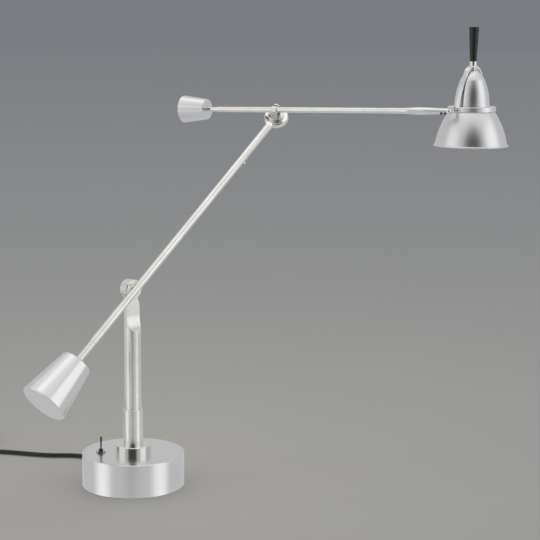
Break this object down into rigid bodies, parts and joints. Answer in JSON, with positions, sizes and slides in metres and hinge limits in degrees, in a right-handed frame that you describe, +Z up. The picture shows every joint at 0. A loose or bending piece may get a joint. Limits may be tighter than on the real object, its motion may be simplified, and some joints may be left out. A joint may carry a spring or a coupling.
{
  "type": "desk lamp",
  "caption": "Desk lamp with a heavy round base, a turning post, two balanced arms with cone counterweights, and a small bell shade in a strap under a handle.",
  "frame": {"origin": "centre of the base's foot, on the table", "axes": "+Z up, -Y is the front of the picture, +X to the right, towards the shade"},
  "size_m": [0.9582, 0.4391, 0.6716],
  "materials": {
    "base_metal": "satin lacquered metal",
    "polished_base": "polished nickel",
    "plate_steel": "plain steel",
    "pad": "dull",
    "winding": "enamelled copper winding under tape",
    "washer_brass": "turned",
    "polished_post": "polished nickel",
    "inner_steel": "plain steel",
    "polished_arm": "polished nickel",
    "weight_steel": "fine turned, nickel plated",
    "bush_plastic": "natural",
    "black_screw": "blackened",
    "shade_aluminium": "spun, satin",
    "strap_metal": "brushed",
    "polished_trim": "polished nickel",
    "handle_black": "smooth black",
    "holder_ceramic": "pale, dull",
    "bulb_glass": "clear",
    "switch_case": "dull",
    "toggle_metal": "dark nickel",
    "cord_black": "smooth",
    "pin_brass": "turned"
  },
  "bodies": {
    "base": {"base_shell": "base_metal", "base_plate": "plate_steel", "plate_screws": "plate_steel", "base_pad": "pad", "ballast_ring": "plate_steel", "ring_transformer": "winding", "collar": "polished_base", "sleeve": "polished_base", "sleeve_nut": "plate_steel", "thrust_washer": "washer_brass", "switch_body": "switch_case", "switch_nut": "polished_base", "gland": "cord_black", "cord_run": "cord_black", "cord_coil": "cord_black", "cord_tail": "cord_black", "plug": "cord_black", "plug_pins": "pin_brass"},
    "post": {"post_tube": "polished_post", "post_head": "polished_post", "post_plug": "inner_steel", "foot_bolt": "inner_steel"},
    "lower_arm": {"arm_disc": "polished_post", "knee_screws": "polished_post", "knee_bolt": "polished_post", "knee_washer": "polished_post", "lower_tube": "polished_arm", "lower_neck": "polished_arm", "big_weight": "weight_steel", "lower_conductor": "inner_steel", "lower_bushes": "bush_plastic", "elbow_socket": "polished_arm", "elbow_stud": "polished_arm"},
    "elbow_turret": {"turret": "polished_arm", "turn_bolt": "polished_arm", "turn_washer": "polished_arm", "tilt_pins": "polished_arm"},
    "upper_arm": {"saddle": "polished_arm", "upper_tube": "polished_arm", "upper_neck": "polished_arm", "small_weight": "weight_steel", "upper_conductor": "inner_steel", "upper_bushes": "bush_plastic", "groove_screw": "polished_arm"},
    "fork_end": {"fork": "polished_arm", "fork_screws": "black_screw", "yaw_pin": "polished_arm"},
    "head": {"strap": "strap_metal", "foot_screws": "strap_metal", "shade_ring": "shade_aluminium", "bell_shell": "shade_aluminium", "ogive_shell": "shade_aluminium", "nipple": "polished_trim", "ferrule": "polished_trim", "handle": "handle_black", "tie_rod": "inner_steel", "lamp_holder": "holder_ceramic", "bulb": "bulb_glass"},
    "toggle": {"switch_lever": "toggle_metal"}
  },
  "joints": [
    {"name": "post_swivel", "type": "hinge", "parent": "base", "child": "post", "pos_m": [0, 0, 0.038], "axis": [0, 0, 1], "range_deg": [-170, 170]},
    {"name": "knee_hinge", "type": "hinge", "parent": "post", "child": "lower_arm", "pos_m": [0, 0, 0.292], "axis": [0.712, -0.7022, 0], "range_deg": [-31, 30]},
    {"name": "elbow_turn", "type": "hinge", "parent": "lower_arm", "child": "elbow_turret", "pos_m": [0.20706, 0.19858, 0.53051], "axis": [-0.1162, -0.7039, 0.7007], "range_deg": [-60, 50]},
    {"name": "elbow_tilt", "type": "hinge", "parent": "elbow_turret", "child": "upper_arm", "pos_m": [0.20508, 0.18661, 0.54242], "axis": [-0.3319, -0.6374, -0.6954], "range_deg": [-39, 9]},
    {"name": "head_roll", "type": "hinge", "parent": "upper_arm", "child": "fork_end", "pos_m": [0.37126, 0.09443, 0.5476], "axis": [0.8741, -0.4849, 0.0272], "range_deg": [-90, 90]},
    {"name": "head_yaw", "type": "hinge", "parent": "fork_end", "child": "head", "pos_m": [0.45727, 0.04672, 0.55027], "axis": [-0.0238, 0.0132, 0.9996], "range_deg": [-167, 26]},
    {"name": "toggle_tilt", "type": "hinge", "parent": "base", "child": "toggle", "pos_m": [-0.047, -0.0065, 0.0516], "axis": [1, 0, 0], "range_deg": [0, 22]}
  ]
}
